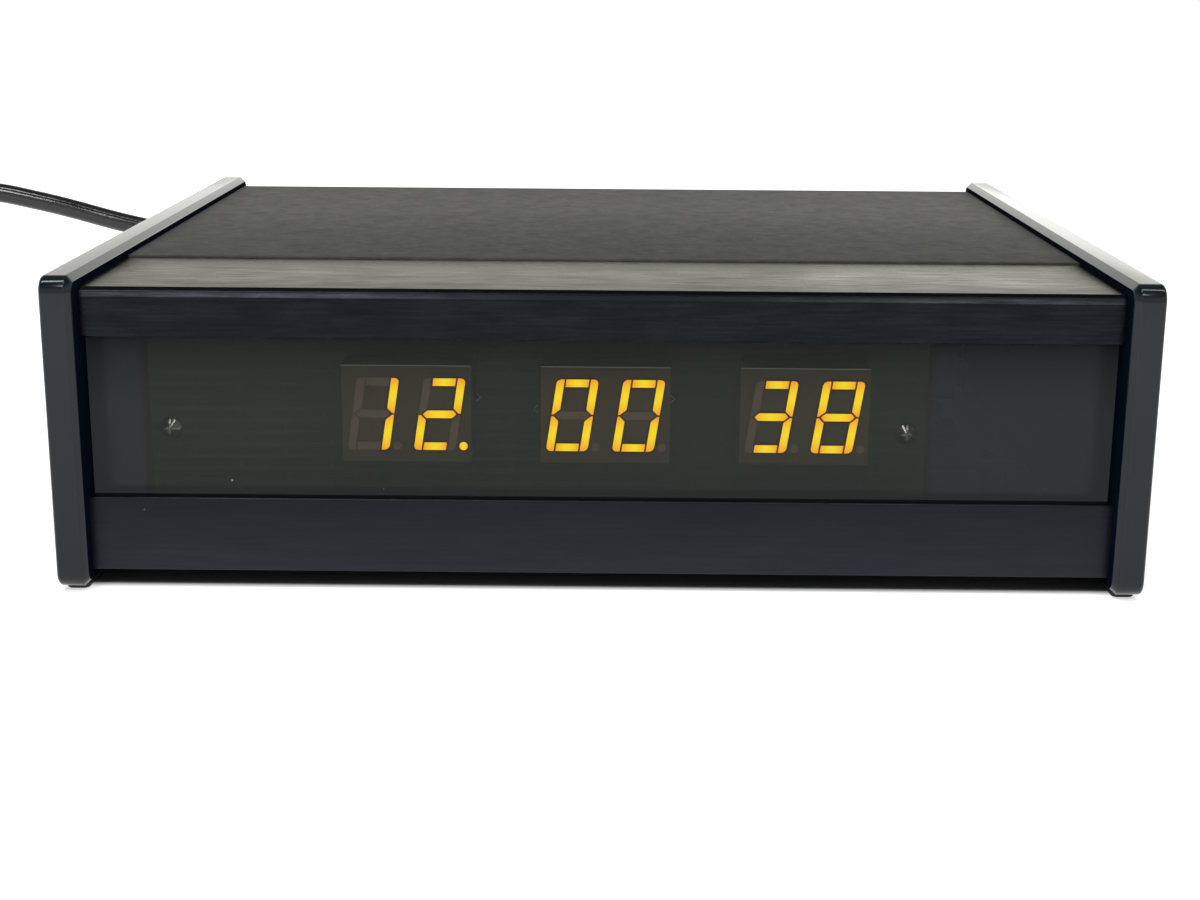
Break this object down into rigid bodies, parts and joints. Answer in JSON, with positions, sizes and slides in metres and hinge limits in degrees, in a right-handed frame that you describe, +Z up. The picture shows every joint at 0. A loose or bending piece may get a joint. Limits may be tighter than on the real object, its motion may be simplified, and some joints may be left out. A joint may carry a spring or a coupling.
{
  "type": "time code display unit",
  "caption": "Low black bench display with brushed metal front and top, a smoked window over yellow lit digits, a signal jack and fuse at the rear, and a mains lead with its plug.",
  "frame": {"origin": "on the table under the middle of the box, without its lead", "axes": "+X to the right seen from the front, +Y to the back, +Z up"},
  "size_m": [0.4096, 0.2238, 0.0607],
  "materials": {
    "plate_black": "satin black side plates with glossy rounded edges",
    "trim_brushed": "black anodised aluminium, brushed lengthways",
    "cover_brushed": "black anodised aluminium sheet, finely brushed",
    "rear_black": "fine textured black paint",
    "rail_metal": "plain mill finish",
    "screw_black": "blackened steel",
    "foot_rubber": "matt black rubber",
    "smoked_window": "smoked clear plastic, glossy",
    "board_green": "green circuit board",
    "module_face": "brownish grey moulded face",
    "segment_lit": "lit yellow diffuser",
    "segment_unlit": "unlit diffuser",
    "plated_steel": "zinc plated steel",
    "core_steel": "varnished laminations",
    "winding_tape": "amber winding tape",
    "capacitor_sleeve": "dark blue sleeve",
    "moulded_black": "matt black moulding",
    "sink_black": "black anodised extrusion",
    "ribbon_grey": "grey ribbon",
    "wire_black": "black insulation",
    "wire_red": "red insulation",
    "wire_white": "white insulation",
    "jack_nickel": "nickel plated brass",
    "insulator_white": "white insulator",
    "contact_gold": "gold plated contact",
    "holder_black": "black phenolic moulding",
    "fuse_metal": "plated ends on a clear tube",
    "cord_black": "glossy black flexible plastic",
    "tie_black": "black plastic strap",
    "pin_brass": "polished brass blades"
  },
  "bodies": {
    "case": {"side_plate_left": "plate_black", "side_plate_right": "plate_black", "front_trim": "trim_brushed", "lower_front_panel": "trim_brushed", "top_cover": "cover_brushed", "bottom_cover": "cover_brushed", "rear_panel": "rear_black", "rear_rail_top": "rail_metal", "rear_rail_bottom": "rail_metal", "side_screws_left": "screw_black", "side_screws_right": "screw_black", "rear_panel_screws": "screw_black", "feet": "foot_rubber", "window": "smoked_window", "display_board": "board_green", "module_hours": "module_face", "module_minutes": "module_face", "module_seconds": "module_face", "lit_segments": "segment_lit", "unlit_segments": "segment_unlit", "display_brackets": "plated_steel", "display_screws": "plated_steel", "bracket_screws": "plated_steel", "main_board": "board_green", "board_spacers": "plated_steel", "board_screws": "plated_steel", "transformer_core": "core_steel", "transformer_coil": "winding_tape", "transformer_strap": "plated_steel", "transformer_screws": "plated_steel", "filter_capacitors": "capacitor_sleeve", "bridge_rectifier": "moulded_black", "regulator": "moulded_black", "heat_sink": "sink_black", "logic_chips": "moulded_black", "crystal": "plated_steel", "ribbon_cable": "ribbon_grey", "ribbon_headers": "moulded_black", "mains_leads": "wire_black", "supply_leads": "wire_red", "signal_lead": "wire_white", "input_jack": "jack_nickel", "jack_insulator": "insulator_white", "jack_contact": "contact_gold", "jack_nut": "jack_nickel", "fuse_holder": "holder_black", "fuse_holder_nut": "holder_black", "strain_relief": "cord_black", "cord": "cord_black", "cord_coil": "cord_black", "cord_tail": "cord_black", "cord_tie": "tie_black", "plug_body": "cord_black", "plug_pins": "pin_brass"},
    "fuse_carrier": {"fuse_cap": "holder_black", "fuse": "fuse_metal"}
  },
  "joints": [
    {"name": "fuse_cap_turn", "type": "hinge", "parent": "case", "child": "fuse_carrier", "pos_m": [-0.032, 0.08, 0.033], "axis": [0, 1, 0], "range_deg": [0, 60]}
  ]
}
